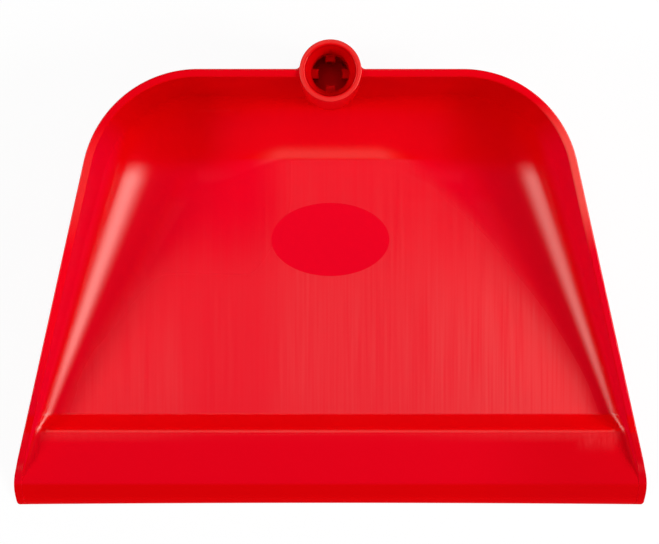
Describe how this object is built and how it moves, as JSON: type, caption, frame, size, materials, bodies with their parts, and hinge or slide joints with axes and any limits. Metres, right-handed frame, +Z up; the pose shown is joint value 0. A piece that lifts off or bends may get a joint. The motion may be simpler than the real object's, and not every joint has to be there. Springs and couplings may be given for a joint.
{
  "type": "lobby dustpan",
  "caption": "Wide moulded dustpan head with a raking rim, a low front lip that rises to a ridge, and an upright socket at the rear for a long handle.",
  "frame": {"origin": "centre of the bounding box, on the ground plane", "axes": "+X across the lip, +Y from the lip to the handle socket, +Z up along the socket"},
  "size_m": [0.37, 0.2646, 0.112],
  "materials": {
    "red_plastic": "glossy moulded plastic, finely grained on the floor"
  },
  "bodies": {
    "root": {"pan": "red_plastic", "front_lip": "red_plastic", "handle_socket": "red_plastic", "handle_lugs": "red_plastic"}
  },
  "joints": []
}
